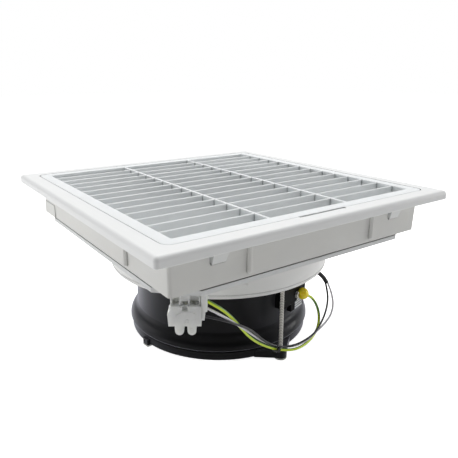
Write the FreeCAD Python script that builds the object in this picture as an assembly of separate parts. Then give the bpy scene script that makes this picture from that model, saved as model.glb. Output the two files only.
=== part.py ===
import FreeCAD, Part
import math
import os

from FreeCAD import Vector

# Bathroom extractor fan for a ceiling, lying on its fan end with the room side up.
# Millimetres.  The Z axis is the fan's axis, Z = 0 is the plane of the resting feet.
# The origin is at the bottom centre.  X runs along the slats of the grille.

# Driving dimensions
HEIGHT = 163.0            # feet to the face of the grille
FLANGE = 340.0            # side of the square fascia
FLANGE_DEPTH = 9.0        # rim of the fascia
FLANGE_CORNER = 3.5
SKIRT_TOP_HALF = 149.3    # half the side of the skirt under the fascia
SKIRT_BOTTOM_HALF = 148.2
SKIRT_DEPTH = 43.7        # face of the grille to the bottom of the skirt
TRAY_DEPTH = 49.0         # face of the grille to the bottom of the tray
TRAY_SPAN = 119.5         # half the length of the tray's long sides
BOWL_DEPTH = 85.8         # face of the grille to the floor of the bowl
BOWL_RADIUS = 120.0       # outside of the bowl at its rim
TUBE_RADIUS = 93.7        # outside of the tube's neck
BAND_RADIUS = 101.8       # outside of the ridge above the tube's outlet
OUTLET_RADIUS = 99.8      # outside of the outlet, under the groove
WALL = 2.5                # moulded wall thickness
GRILLE_GAP = 0.7          # gap around the lift-out grille
SLATS = 13                # slats in each column
SLAT_THICKNESS = 1.8
SLAT_DEPTH = 14.0
MULLION_X = 47.2
BLADES = 7
BLADE_TIP = 86.5
SHAFT_RADIUS = 3.0
BEARING_CLEARANCE = 0.03
HANG_RADIUS = 109.5       # long screws that hang the tube from the bowl
ARM_ANGLE = -70.0         # first arm of the motor support, and the lead on it

# Levels worked out from them
TOP = HEIGHT
FLANGE_UNDER = TOP - FLANGE_DEPTH
LEDGE_TOP = FLANGE_UNDER + WALL
SKIRT_BOTTOM = TOP - SKIRT_DEPTH
TRAY_BOTTOM = TOP - TRAY_DEPTH
TRAY_TOP = SKIRT_BOTTOM - 1.0
BOWL_FLOOR = TOP - BOWL_DEPTH
TUBE_BOTTOM = 2.0
TUBE_FLANGE_TOP = BOWL_FLOOR + 2 * WALL
NECK_BORE = TUBE_RADIUS - WALL
OPENING_HALF = 153.7
PANEL_HALF = OPENING_HALF - GRILLE_GAP
VENT_HALF = 141.6
LOUVRE_BOTTOM = TOP - SLAT_DEPTH

# Levels of the motor, which hangs under its support
SUPPORT_BOTTOM = 58.0
SUPPORT_TOP = 66.0
PLATE_BOTTOM = 60.0
PLATE_TOP = 63.0
MOTOR_BASE_TOP = 73.0
CUP_BOTTOM = 21.5
CUP_TOP = 54.0
HUB_BOTTOM = 18.0
CUP_RADIUS = 39.0
HUB_RADIUS = 42.0
BEARING_RADIUS = 9.5
BEARING_HEIGHT = 6.0
LOWER_BEARING = 27.0
UPPER_BEARING = 50.0

# Wires and their routes.  The loose wires run from the terminal plug, past the long screw, where
# a tie holds them, to the earth crimp and to the mouth of the black sleeve.
EARTH_DIAMETER = 2.8
CORE_DIAMETER = 2.1
SLEEVE_DIAMETER = 4.6
EARTH_ROUTE = [
    (-105.6, -134.4, 101), (-94, -138, 92.5), (-80, -135, 78.5), (-66, -129, 62),
    (-49, -122.5, 43), (-31, -118, 28), (-10, -115.5, 15), (8, -117.8, 9.2),
    (23, -116, 7), (37, -112, 6.4), (50.5, -107, 7.8), (60.5, -102.8, 12.4),
    (65.5, -99.2, 20.8), (65.3, -96.6, 30.6), (61, -95, 40), (54, -94.6, 47.5), (45, -95.6, 52.2)]
NEUTRAL_ROUTE = [
    (-105.6, -134.4, 94.5), (-94, -138.5, 86.5), (-79, -137, 74), (-62, -131, 59.5),
    (-45, -122.5, 44), (-29, -116, 30), (-9, -113.6, 16.8), (13, -115.3, 10.2),
    (33, -113.4, 9.4), (49, -110.2, 12.6), (63, -108.4, 16.4), (77, -105.2, 21.6),
    (87.5, -99, 28.5), (91, -93.5, 37), (91, -89, 45.5), (89.3, -86.65, 52)]
LIVE_ROUTE = [
    (-107.9, -133.2, 87.5), (-93, -139.4, 82.3), (-77.5, -139.5, 73.2), (-61, -133.5, 61.5),
    (-46, -125, 48.5), (-30, -118.8, 32.2), (-9, -116.4, 17.3), (13, -117.3, 12.6),
    (33, -115.4, 13), (47.2, -112.6, 15), (61, -106.6, 18.8), (71.8, -101.8, 24.8),
    (81, -96, 30.8), (86.6, -90.8, 37.6), (88.4, -87, 44.2), (87.7, -85.35, 51)]
SLEEVE_ROUTE = [
    (47.2, -86.7, 63.4), (58.5, -83.3, 66.8), (72, -82, 67.8), (83, -84.4, 61), (88.5, -86, 51.5)]


def box(x0, x1, y0, y1, z0, z1):
    return Part.makeBox(x1 - x0, y1 - y0, z1 - z0, Vector(x0, y0, z0))


def cylinder(radius, z0, z1, x=0.0, y=0.0):
    return Part.makeCylinder(radius, z1 - z0, Vector(x, y, z0))


def ring(outer, inner, z0, z1, x=0.0, y=0.0):
    return cylinder(outer, z0, z1, x, y).cut(cylinder(inner, z0 - 1, z1 + 1, x, y))


def turn(shape, angle):
    """Copy of a shape, turned about the fan's axis."""
    copy = shape.copy()
    copy.rotate(Vector(0, 0, 0), Vector(0, 0, 1), angle)
    return copy


def around(shape, angles):
    return [turn(shape, angle) for angle in angles]


def joined(shapes):
    return shapes[0].fuse(shapes[1:]).removeSplitter()


def square_wire(half, corner, z):
    """Square outline centred on the axis, with rounded corners."""
    flat = half - corner
    diagonal = flat + corner * math.sqrt(0.5)
    side = Part.LineSegment(Vector(half, -flat, z), Vector(half, flat, z)).toShape()
    bend = Part.Arc(Vector(half, flat, z), Vector(diagonal, diagonal, z), Vector(flat, half, z)).toShape()
    return Part.Wire([turn(edge, angle) for angle in (0, 90, 180, 270) for edge in (side, bend)])


def square_prism(half, corner, z0, z1, top_half=None):
    """Square block with rounded corners; with top_half its sides slope."""
    if top_half is None:
        return Part.Face(square_wire(half, corner, z0)).extrude(Vector(0, 0, z1 - z0))
    return Part.makeLoft([square_wire(half, corner, z0), square_wire(top_half, corner, z1)], True, True)


def octagon_prism(half, span, z0, z1):
    """Square block whose corners are cut off; span is half the length of a long side."""
    quarter = [Vector(half, -span, z0), Vector(half, span, z0)]
    points = [FreeCAD.Rotation(Vector(0, 0, 1), angle).multVec(point)
              for angle in (0, 90, 180, 270) for point in quarter]
    return Part.Face(Part.makePolygon(points + points[:1])).extrude(Vector(0, 0, z1 - z0))


def turned(start, *steps):
    """Solid of revolution about the axis.  A step (r, z) is a straight side of the outline, and a
    step (r, z, via_r, via_z) is an arc through the via point."""
    here = Vector(start[0], 0, start[1])
    edges = []
    for step in steps + (start,):
        there = Vector(step[0], 0, step[1])
        if len(step) == 4:
            edges.append(Part.Arc(here, Vector(step[2], 0, step[3]), there).toShape())
        else:
            edges.append(Part.LineSegment(here, there).toShape())
        here = there
    return Part.Face(Part.Wire(edges)).revolve(Vector(0, 0, 0), Vector(0, 0, 1), 360)


def rounded(shape, radius, chosen):
    """Fillet on the edges that the test picks."""
    return shape.makeFillet(radius, [edge for edge in shape.Edges if chosen(edge)])


def at_level(z):
    def lies_at_level(edge):
        bounds = edge.BoundBox
        return abs(bounds.ZMin - z) < 0.01 and abs(bounds.ZMax - z) < 0.01
    return lies_at_level


def aimed(shape, start, along):
    """Copy of a shape drawn along +Z from the origin, moved to a start and a direction."""
    copy = shape.copy()
    copy.Placement = FreeCAD.Placement(start, FreeCAD.Rotation(Vector(0, 0, 1), along))
    return copy


def pan_screw(head_radius, head_height, shank_radius, shank_length):
    """Screw along -Z: its seat is at the origin, its head above and its shank below."""
    head = cylinder(head_radius, 0, head_height)
    head = rounded(head, head_height * 0.45, at_level(head_height))
    arm = head_radius * 0.55
    cross = box(-arm, arm, -0.35, 0.35, head_height * 0.6, head_height + 1)
    head = head.cut(cross).cut(turn(cross, 90))
    return head.fuse(cylinder(shank_radius, -shank_length, 0)).removeSplitter()


def placed(shape, x, y, z, upside_down=False):
    copy = shape.copy()
    if upside_down:
        copy.rotate(Vector(0, 0, 0), Vector(1, 0, 0), 180)
    copy.translate(Vector(x, y, z))
    return copy


# Fascia, grille and skirt

SLOT_LEFT, SLOT_RIGHT = -25.0, 31.0       # pry slot on the front edge
SLOT_OUTER, SLOT_INNER = -156.4, -152.3
RIB_OFFSETS = (-73.8, 77.0)
RIB_RADIUS = 2.5
RIB_BOTTOM = SKIRT_BOTTOM + 5.5
CLIP_LEFTS = (-111.0, 104.0)              # upright edge of each clip, along its side
CLIP_WIDTH = 17.0
CLIP_BOTTOM = TOP - 25.5
CLIP_TOP = FLANGE_UNDER - 2.0
BARB_HEIGHT = 3.8
SIDE_ANGLES = (0, 90, 180, 270)
LEFT_SIDE = 270


def fascia_frame():
    outer_half = FLANGE / 2
    rim = square_prism(outer_half, FLANGE_CORNER, FLANGE_UNDER, TOP)
    rim = rounded(rim, 4.0, at_level(TOP))
    rim = rounded(rim, 0.8, at_level(FLANGE_UNDER))
    wall_half = OPENING_HALF + WALL
    hollow = square_prism(outer_half - WALL, FLANGE_CORNER - WALL, FLANGE_UNDER - 1, TOP - 3.4)
    hollow = hollow.cut(square_prism(wall_half, 11.0, FLANGE_UNDER - 2, TOP))
    frame = rim.cut(hollow)
    frame = frame.cut(square_prism(OPENING_HALF, 9.0, LEDGE_TOP, TOP + 1))
    frame = frame.cut(square_prism(145.0, 6.0, FLANGE_UNDER - 1, TOP))
    frame = frame.cut(box(SLOT_LEFT, SLOT_RIGHT, SLOT_OUTER, SLOT_INNER, TOP - 5, TOP + 1))
    return [frame]


def slat(half_length, z0, z1):
    """Upright slat along X with a full round on its room edge."""
    radius = SLAT_THICKNESS / 2
    left, right = Vector(0, -radius, z0), Vector(0, radius, z0)
    top_left, top_right = Vector(0, -radius, z1 - radius), Vector(0, radius, z1 - radius)
    outline = Part.Wire([
        Part.LineSegment(right, top_right).toShape(),
        Part.Arc(top_right, Vector(0, 0, z1), top_left).toShape(),
        Part.LineSegment(top_left, left).toShape(),
        Part.LineSegment(left, right).toShape()])
    blade = Part.Face(outline).extrude(Vector(2 * half_length, 0, 0))
    blade.translate(Vector(-half_length, 0, 0))
    return blade


def grille_panel():
    border_under = TOP - 3.0
    border = square_prism(PANEL_HALF, 8.3, border_under, TOP)
    border = rounded(border, 0.8, at_level(TOP))
    foot = square_prism(PANEL_HALF, 8.3, LEDGE_TOP, border_under)
    foot = foot.cut(square_prism(PANEL_HALF - 2.0, 6.3, LEDGE_TOP - 1, TOP))
    lip = square_prism(VENT_HALF + 1.8, 3.8, LOUVRE_BOTTOM, TOP - 1.5)
    vent = square_prism(VENT_HALF, 2.0, LOUVRE_BOTTOM - 1, TOP + 1)
    panel = joined([border, foot, lip]).cut(vent)
    pitch = (2 * VENT_HALF + SLAT_THICKNESS) / (SLATS + 1)
    bars = []
    for number in range(1, SLATS + 1):
        bar = slat(VENT_HALF + 1.0, LOUVRE_BOTTOM, TOP - 0.1)
        bar.translate(Vector(0, -VENT_HALF - SLAT_THICKNESS / 2 + number * pitch, 0))
        bars.append(bar)
    for x in (-MULLION_X, MULLION_X):
        mullion = box(x - 1.25, x + 1.25, -VENT_HALF - 1, VENT_HALF + 1, LOUVRE_BOTTOM, TOP)
        bars.append(rounded(mullion, 0.5, at_level(TOP)))
    panel = joined([panel] + bars)
    return [panel.cut(box(SLOT_LEFT, SLOT_RIGHT, -OPENING_HALF, SLOT_INNER, border_under - 1, TOP + 1))]


def release_tab():
    """Springy tongue that nearly fills the pry slot."""
    top = TOP - 0.7
    tongue = box(SLOT_LEFT + 0.6, SLOT_RIGHT - 0.6, SLOT_OUTER + 0.4, SLOT_INNER - 1.1, TOP - 5, top)
    return [rounded(tongue, 0.4, at_level(top))]


def on_front(outline, y, depth):
    """Block cut to an outline of (x, z) points on the front side, from y inwards."""
    points = [Vector(x, y, z) for x, z in outline]
    return Part.Face(Part.makePolygon(points + points[:1])).extrude(Vector(0, depth, 0))


def clip_window(left):
    """Cut-out in the front wall for one barb, with a notch beside its upright edge."""
    right = left + CLIP_WIDTH + 0.4
    return on_front([(left - 0.4, CLIP_BOTTOM), (right - 3.6, CLIP_BOTTOM), (right, CLIP_TOP),
                     (left - 2.4, CLIP_TOP), (left - 1.8, CLIP_BOTTOM + 2.2)], -SKIRT_TOP_HALF - 3, 8)


def skirt_box():
    outer = square_prism(SKIRT_BOTTOM_HALF, 3.0, SKIRT_BOTTOM, FLANGE_UNDER, SKIRT_TOP_HALF)
    inner_bottom = SKIRT_BOTTOM_HALF - WALL
    inner_top = SKIRT_TOP_HALF - WALL
    inner = square_prism(inner_bottom, 1.5, SKIRT_BOTTOM + WALL, FLANGE_UNDER + 0.001, inner_top)
    skirt = outer.cut(inner)
    skirt = skirt.cut(octagon_prism(136.0, 118.0, SKIRT_BOTTOM - 1, SKIRT_BOTTOM + WALL + 1))
    ribs = []
    for offset in RIB_OFFSETS:
        rib = cylinder(RIB_RADIUS, RIB_BOTTOM, FLANGE_UNDER, offset, 0.2 - SKIRT_TOP_HALF)
        tip = Part.makeSphere(RIB_RADIUS, Vector(offset, 0.2 - SKIRT_TOP_HALF, RIB_BOTTOM))
        inside = box(offset - 3, offset + 3, 1.6 - SKIRT_TOP_HALF, 5 - SKIRT_TOP_HALF, 0, TOP)
        ribs.append(rib.fuse(tip).cut(inside))
    side = [turn(rib, angle) for angle in SIDE_ANGLES for rib in ribs]
    del side[2 * SIDE_ANGLES.index(LEFT_SIDE)]      # the pad takes the place of one rib there
    pad_face = -SKIRT_BOTTOM_HALF - 1.0
    pad = box(-148.0, -113.0, pad_face, pad_face + 1.9, SKIRT_BOTTOM, SKIRT_BOTTOM + 14)
    skirt = skirt.fuse(side + [turn(pad, LEFT_SIDE)])
    for angle in SIDE_ANGLES:
        for left in CLIP_LEFTS:
            skirt = skirt.cut(turn(clip_window(left), angle))
    for x, y in tray_screw_places():
        skirt = skirt.cut(cylinder(1.5, SKIRT_BOTTOM - 1, SKIRT_BOTTOM + WALL + 1, x, y))
    for x in (-139.0, 139.0):
        for y in (-139.0, 139.0):
            skirt = skirt.cut(cylinder(2.75, SKIRT_BOTTOM - 1, SKIRT_BOTTOM + WALL + 1, x, y))
    return [skirt.removeSplitter()]


def fascia_clips():
    """Clips of the fascia: an arm inside the skirt with a barb that juts out through its window."""
    clips = []
    face = -SKIRT_TOP_HALF
    catch = CLIP_TOP - 0.4
    for left in CLIP_LEFTS:
        right_top, right_bottom = left + CLIP_WIDTH, left + CLIP_WIDTH - 4.0
        profile = [Vector(left, face - height, z) for height, z in (
            (-2.7, CLIP_BOTTOM + 0.5), (0.5, CLIP_BOTTOM + 0.7), (BARB_HEIGHT, catch - 1.0),
            (BARB_HEIGHT - 0.6, catch), (-2.7, catch))]
        barb = Part.Face(Part.makePolygon(profile + profile[:1])).extrude(Vector(CLIP_WIDTH, 0, 0))
        barb = barb.common(on_front([(left, CLIP_BOTTOM), (right_bottom, CLIP_BOTTOM), (right_top, CLIP_TOP),
                                     (left + 0.8, CLIP_TOP)], face - BARB_HEIGHT - 1, 12))
        arm = box(left + 1.0, right_bottom, face + 3.7, face + 5.7, CLIP_BOTTOM - 2, FLANGE_UNDER)
        link = box(left + 1.0, right_bottom, face + 2.6, face + 3.8, CLIP_BOTTOM + 2.5, catch)
        clips.append(joined([barb, arm, link]))
    return [turn(clip, angle) for angle in SIDE_ANGLES for clip in clips]


# Tray and bowl

BOWL_FLANGE_RADIUS = 132.0
BOWL_HOLE_RADIUS = 124.0
BOWL_FLANGE = 2.0


def tray_screw_places():
    """Two screws on each side of the tray, in the ledge of the skirt."""
    places = []
    for along in (-95.0, 95.0):
        places += [(along, -140.5), (along, 140.5), (-140.5, along), (140.5, along)]
    return places


def bowl_screw_places():
    return [(128.0 * math.cos(math.radians(angle)), 128.0 * math.sin(math.radians(angle)))
            for angle in (45, 135, 225, 315)]


def spacer_tray():
    plate = octagon_prism(SKIRT_BOTTOM_HALF, TRAY_SPAN, TRAY_BOTTOM + 2.0, TRAY_TOP)
    lip = octagon_prism(SKIRT_BOTTOM_HALF, TRAY_SPAN, TRAY_BOTTOM, TRAY_BOTTOM + 2.0)
    lip = lip.cut(octagon_prism(SKIRT_BOTTOM_HALF - 3.0, TRAY_SPAN - 1.2, TRAY_BOTTOM - 1, TRAY_BOTTOM + 3))
    step = octagon_prism(144.5, 118.0, TRAY_TOP, SKIRT_BOTTOM)
    step = step.cut(cylinder(BOWL_FLANGE_RADIUS + 1.0, TRAY_TOP - 1, SKIRT_BOTTOM + 1))
    tray = joined([plate, lip, step]).cut(cylinder(BOWL_HOLE_RADIUS, TRAY_BOTTOM - 1, TOP))
    for x, y in tray_screw_places():
        tray = tray.cut(cylinder(1.7, TRAY_BOTTOM - 1, SKIRT_BOTTOM + 1, x, y))
    for x, y in bowl_screw_places():
        tray = tray.cut(cylinder(1.5, TRAY_BOTTOM - 1, SKIRT_BOTTOM + 1, x, y))
    for x in HANGER_SCREWS:
        tray = tray.cut(to_corner(cylinder(1.2, TRAY_BOTTOM - 1, SKIRT_BOTTOM + 1, x, 0)))
    return [tray]


def tray_screws():
    screw = pan_screw(3.0, 1.9, 1.5, 5.8)
    return [placed(screw, x, y, TRAY_BOTTOM + 2.0, upside_down=True) for x, y in tray_screw_places()]


def inlet_bowl():
    flange_top = TRAY_TOP + BOWL_FLANGE
    floor = BOWL_FLOOR
    wall = 2.3
    neck = TUBE_RADIUS + 0.3
    bowl = turned(
        (neck, floor), (117.0, floor), (BOWL_RADIUS, floor + 2.6, 119.2, floor + 0.8),
        (BOWL_RADIUS + 0.7, floor + 2.9), (BOWL_RADIUS + 0.7, floor + 4.3), (BOWL_RADIUS + 0.2, floor + 4.7),
        (122.9, 98.0, 121.9, 88.5), (123.5, TRAY_TOP, 123.4, 108.0), (BOWL_FLANGE_RADIUS, TRAY_TOP),
        (BOWL_FLANGE_RADIUS, flange_top), (122.5, flange_top),
        (121.0, flange_top - 1.5, 121.4, flange_top - 0.4),
        (122.9 - wall, 98.0, 121.0, 108.0), (BOWL_RADIUS - wall, floor + 5.0, 119.6, 88.5),
        (115.5, floor + WALL, 117.1, floor + 3.2), (neck, floor + WALL))
    nib = Part.makeSphere(2.6, Vector(120.4, 0, 92.6))
    nib = nib.common(box(121.0, 124.0, -3, 3, 90.8, 94.4))
    bowl = bowl.fuse(turn(nib, -112.8)).removeSplitter()
    for angle in (90, -90):
        bowl = bowl.cut(turn(cylinder(2.2, floor - 1, floor + 4, HANG_RADIUS, 0), angle))
    for x, y in bowl_screw_places():
        bowl = bowl.cut(cylinder(1.7, TRAY_TOP - 1, flange_top + 1, x, y))
    return [bowl]


def bowl_screws():
    screw = pan_screw(3.0, 1.9, 1.5, 5.0)
    return [placed(screw, x, y, TRAY_TOP + BOWL_FLANGE) for x, y in bowl_screw_places()]


# Fan tube and what is on it

LUG_RADIUS = 6.5
LUG_TOP = 9.5
NUT_FLATS = 7.0
NUT_HEIGHT = 3.2
LEAD_LEVEL = SUPPORT_TOP + 2.4
OUTLET_BORE = 96.4
STUB_ANGLES = (6, 186)
COVER_ANGLE = -72.0
COVER_LEFT, COVER_RIGHT = -24.0, 22.0
COVER_BOTTOM, COVER_TOP = 47.0, 76.0
COVER_FACE = 101.0
LABEL_FACE = 98.5
LABEL_LEFT, LABEL_TOP = 4.0, 51.6


def tube_profile():
    bore = NECK_BORE
    return turned(
        (OUTLET_BORE, TUBE_BOTTOM), (98.6, TUBE_BOTTOM),
        (OUTLET_RADIUS, TUBE_BOTTOM + 1.2, 99.4, TUBE_BOTTOM + 0.4),
        (OUTLET_RADIUS, 10.2), (99.2, 10.8, 99.6, 10.6), (98.2, 11.2), (98.2, 12.6),
        (BAND_RADIUS, 14.4, 101.3, 12.9), (BAND_RADIUS, 15.4), (97.8, 23.6, 100.4, 20.0),
        (TUBE_RADIUS, 30.0, 94.9, 26.4), (TUBE_RADIUS, BOWL_FLOOR + WALL), (115.0, BOWL_FLOOR + WALL),
        (115.0, TUBE_FLANGE_TOP), (95.5, TUBE_FLANGE_TOP),
        (bore, TUBE_FLANGE_TOP - 4.3, 92.5, TUBE_FLANGE_TOP - 1.2),
        (bore, 30.0), (94.6, 23.2, 92.2, 26.0), (OUTLET_BORE, 15.0, 95.9, 19.0))


def hexagon(flats, z0, z1, x, y):
    radius = flats / math.sqrt(3)
    turns = [math.radians(60 * corner) for corner in range(7)]
    points = [Vector(x + radius * math.cos(angle), y + radius * math.sin(angle), z0) for angle in turns]
    return Part.Face(Part.makePolygon(points)).extrude(Vector(0, 0, z1 - z0))


def fan_tube():
    tube = tube_profile()
    web = [Vector(97, -24, TUBE_BOTTOM), Vector(HANG_RADIUS + 2, -LUG_RADIUS + 0.5, TUBE_BOTTOM),
           Vector(HANG_RADIUS + 2, LUG_RADIUS - 0.5, TUBE_BOTTOM), Vector(97, 24, TUBE_BOTTOM)]
    lug = Part.Face(Part.makePolygon(web + web[:1])).extrude(Vector(0, 0, LUG_TOP - TUBE_BOTTOM))
    lug = joined([lug, cylinder(LUG_RADIUS, TUBE_BOTTOM, LUG_TOP, HANG_RADIUS, 0)])
    lug = lug.cut(cylinder(2.15, 0, TOP, HANG_RADIUS, 0))
    lug = lug.cut(hexagon(NUT_FLATS + 0.2, TUBE_BOTTOM - 1, TUBE_BOTTOM + NUT_HEIGHT, HANG_RADIUS, 0))
    stub = box(97, 102.8, -4.5, 4.5, TUBE_BOTTOM, 8.2)
    stub = rounded(stub, 1.2, lambda edge: edge.BoundBox.XMin > 102 and edge.BoundBox.ZLength > 3)
    stub = stub.cut(Part.makeCylinder(1.1, 6, Vector(99.6, -2.2, 5.4), Vector(1, 0, 0)))
    bore = cylinder(OUTLET_BORE, 0, 12)
    tabs = [turn(lug.cut(bore), angle) for angle in (90, -90)]
    tabs += [turn(stub.cut(bore), angle) for angle in STUB_ANGLES]
    tube = joined([tube] + tabs)
    for angle in (90, -90):
        tube = tube.cut(turn(cylinder(2.15, BOWL_FLOOR, TOP, HANG_RADIUS, 0), angle))
    lead_hole = Part.makeCylinder(2.6, 20, Vector(85, 0, LEAD_LEVEL), Vector(1, 0, 0))
    return [tube.cut(turn(lead_hole, ARM_ANGLE))]


def tube_feet():
    """Clear rubber pads: a washer under each lug and a block under each stub."""
    pad = cylinder(LUG_RADIUS, 0, TUBE_BOTTOM, HANG_RADIUS, 0).cut(cylinder(4.4, -1, 3, HANG_RADIUS, 0))
    pad = rounded(pad, 0.6, lambda edge: edge.BoundBox.ZMax < 0.1 and edge.BoundBox.XLength > 10)
    block = box(97.2, 102.6, -4.2, 4.2, 0, TUBE_BOTTOM)
    return around(block, STUB_ANGLES) + around(pad, (90, -90))


def tube_screws():
    screw = pan_screw(3.8, 2.6, 2.0, TUBE_FLANGE_TOP - TUBE_BOTTOM - 0.2)
    return [placed(screw, 0, y, TUBE_FLANGE_TOP) for y in (-HANG_RADIUS, HANG_RADIUS)]


def tube_screw_nuts():
    nuts = []
    for y in (-HANG_RADIUS, HANG_RADIUS):
        nut = hexagon(NUT_FLATS, TUBE_BOTTOM + 0.1, TUBE_BOTTOM + NUT_HEIGHT, 0, 0)
        nut = turn(nut, 90).cut(cylinder(2.0, 0, 10))
        nuts.append(placed(nut, 0, y, 0))
    return nuts


def lead_cover():
    """Cover over the lead hole, with a flat outer face that carries the earth screw."""
    body = box(88, COVER_FACE, COVER_LEFT, COVER_RIGHT, COVER_BOTTOM, COVER_TOP)
    body = rounded(body, 1.2, lambda edge: edge.BoundBox.XMin > COVER_FACE - 0.01)
    body = body.cut(box(80, COVER_FACE - 2, COVER_LEFT + 2, COVER_RIGHT - 2, COVER_BOTTOM + 2, COVER_TOP - 2))
    foot = box(88, LABEL_FACE, -4, COVER_RIGHT, COVER_BOTTOM - 10.5, LABEL_TOP + 2)
    recess = box(LABEL_FACE, COVER_FACE + 1, LABEL_LEFT - 0.6, COVER_RIGHT + 1, 0, LABEL_TOP + 0.3)
    body = joined([body, foot]).cut(cylinder(TUBE_RADIUS, 0, TOP)).cut(recess)
    body = body.cut(Part.makeCylinder(1.6, 20, Vector(90, 2, 55), Vector(1, 0, 0)))
    start, after = Vector(*SLEEVE_ROUTE[0]), Vector(*SLEEVE_ROUTE[1])
    sleeve_hole = aimed(cylinder(SLEEVE_DIAMETER / 2 + 0.05, -2, 8), start, after.sub(start))
    return [turn(body, COVER_ANGLE).cut(sleeve_hole)]


def rating_label():
    label = box(LABEL_FACE, LABEL_FACE + 0.3, LABEL_LEFT, LABEL_LEFT + 15.5, LABEL_TOP - 14.8, LABEL_TOP)
    return [turn(label, COVER_ANGLE)]


def earth_screw():
    screw = pan_screw(3.2, 2.0, 1.5, 6.0)
    screw.rotate(Vector(0, 0, 0), Vector(0, 1, 0), 90)
    screw.translate(Vector(COVER_FACE + 0.8, 2, 55))
    return [turn(screw, COVER_ANGLE)]


def earth_crimp():
    """Ring tongue under the earth screw, and the insulated barrel that grips the earth wire."""
    tongue = Part.makeCylinder(3.6, 0.8, Vector(COVER_FACE, 2, 55), Vector(1, 0, 0))
    tongue = tongue.fuse(box(COVER_FACE, COVER_FACE + 0.8, 2, 9, 52.5, 57)).removeSplitter()
    tongue = tongue.cut(Part.makeCylinder(1.6, 3, Vector(COVER_FACE - 1, 2, 55), Vector(1, 0, 0)))
    barrel = turned((0, 0), (3.2, 0), (5.0, 3.4, 4.5, 1.2), (5.0, 6.6), (3.6, 9.0, 4.6, 8.3), (0, 9.0))
    barrel = aimed(barrel, Vector(COVER_FACE + 2.8, 6.2, 56.1), Vector(0.13, 0.87, -0.48))
    barrel = barrel.cut(box(0, COVER_FACE, -60, 60, 0, TOP))
    return [turn(joined([tongue, barrel]), COVER_ANGLE)]


# Wires

def cord_tube(name, route, diameter):
    """Round tube along straight runs joined by tangent arcs, as large as the runs allow."""
    points = [Vector(*point) for point in route]
    edges = []
    radii = []
    here = points[0]
    for before, corner, after in zip(points, points[1:], points[2:]):
        run_in = corner.sub(before)
        run_out = after.sub(corner)
        reach = 0.45 * min(run_in.Length, run_out.Length)
        half_turn = run_in.getAngle(run_out) / 2
        radius = reach / math.tan(half_turn)
        into = corner.sub(Vector(run_in).normalize().multiply(reach))
        out_of = corner.add(Vector(run_out).normalize().multiply(reach))
        towards = into.add(out_of).multiply(0.5).sub(corner).normalize()
        middle = corner.add(towards.multiply(radius / math.cos(half_turn) - radius))
        edges.append(Part.LineSegment(here, into).toShape())
        edges.append(Part.Arc(into, middle, out_of).toShape())
        radii.append(radius)
        here = out_of
    edges.append(Part.LineSegment(here, points[-1]).toShape())
    path = Part.Wire(edges)
    section = Part.Wire([Part.makeCircle(diameter / 2, points[0], points[1].sub(points[0]))])
    tube = path.makePipeShell([section], True, False)
    exact = math.pi * diameter ** 2 / 4 * path.Length
    print(name, "length %.1f, smallest radius %.1f, volume %.4f of section times length" % (
        path.Length, min(radii), tube.Volume / exact), "radii", [round(radius, 1) for radius in radii])
    return tube


def earth_wire():
    return [cord_tube("earth_wire", EARTH_ROUTE, EARTH_DIAMETER)]


def neutral_wire():
    return [cord_tube("neutral_wire", NEUTRAL_ROUTE, CORE_DIAMETER)]


def live_wire():
    return [cord_tube("live_wire", LIVE_ROUTE, CORE_DIAMETER)]


def lead_sleeve():
    return [cord_tube("lead_sleeve", SLEEVE_ROUTE, SLEEVE_DIAMETER)]


def motor_lead():
    """Lead along the top of one arm, from the motor through the wall of the tube into the cover."""
    lead = Part.makeCylinder(2.3, 62.5, Vector(33.5, 0, LEAD_LEVEL), Vector(1, 0, 0))
    return [turn(lead, ARM_ANGLE)]


def wire_tie():
    """Tie around the three wires, square to their run."""
    outer = box(-1.2, 1.2, -3.6, 3.6, -3.7, 3.7)
    outer = rounded(outer, 2.4, lambda edge: edge.BoundBox.XLength > 2)
    inner = box(-2, 2, -2.8, 2.8, -2.9, 2.9)
    inner = rounded(inner, 1.8, lambda edge: edge.BoundBox.XLength > 3)
    head = box(-1.9, 1.9, -5.0, -3.1, -2.4, 1.4)
    tail = box(-0.9, 0.9, -4.5, -3.7, 1.4, 4.6)
    tie = joined([outer.cut(inner), head, tail])
    tie.rotate(Vector(0, 0, 0), Vector(0, 1, 0), 33)
    tie.translate(Vector(-12.0, -115.9, 17.4))
    return [tie]


# Terminal block under one corner of the tray, in its own frame: X along the block, Y towards the
# fan, Z up; to_corner() puts it in place.

TERMINAL_CENTRE = 120.0
TERMINAL_TURN = -35.0
BLOCK_BOTTOM, BLOCK_TOP = 80.6, 97.6
BLOCK_FRONT, BLOCK_BACK = -8.0, 8.0
BLOCK_RIGHT = 15.5
PLUG_RIGHT = 20.5
POLES = (-6.8, 1.9, 10.6)
CLAMP_BOTTOM, CLAMP_TOP = 83.0, 92.0
HANGER_LEFT, HANGER_RIGHT = -9.7, 14.8
HANGER_SCREWS = (-5.7, 9.9)
WALL_FRONT = 2.3                          # front of the hanger's back wall


def to_corner(shape):
    copy = turn(shape, TERMINAL_TURN)
    copy.translate(Vector(-TERMINAL_CENTRE, -TERMINAL_CENTRE, 0))
    return copy


def prong(top_left, top_right, middle, radius):
    """Flat peg under the block, which narrows to a round end."""
    level = 71.0 + radius
    sides = on_front([(top_left, BLOCK_BOTTOM + 1), (middle - radius, level), (middle + radius, level),
                      (top_right, BLOCK_BOTTOM + 1)], -5, 10)
    return sides.fuse(Part.makeCylinder(radius, 10, Vector(middle, -5, level), Vector(0, 1, 0)))


def front_mark(x, z, outer, inner, y, depth):
    """Ring to sink into a front face, as an ejector pin leaves."""
    disc = Part.makeCylinder(outer, depth + 1, Vector(x, y - 1, z), Vector(0, 1, 0))
    return disc.cut(Part.makeCylinder(inner, depth + 2, Vector(x, y - 1.5, z), Vector(0, 1, 0)))


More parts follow.
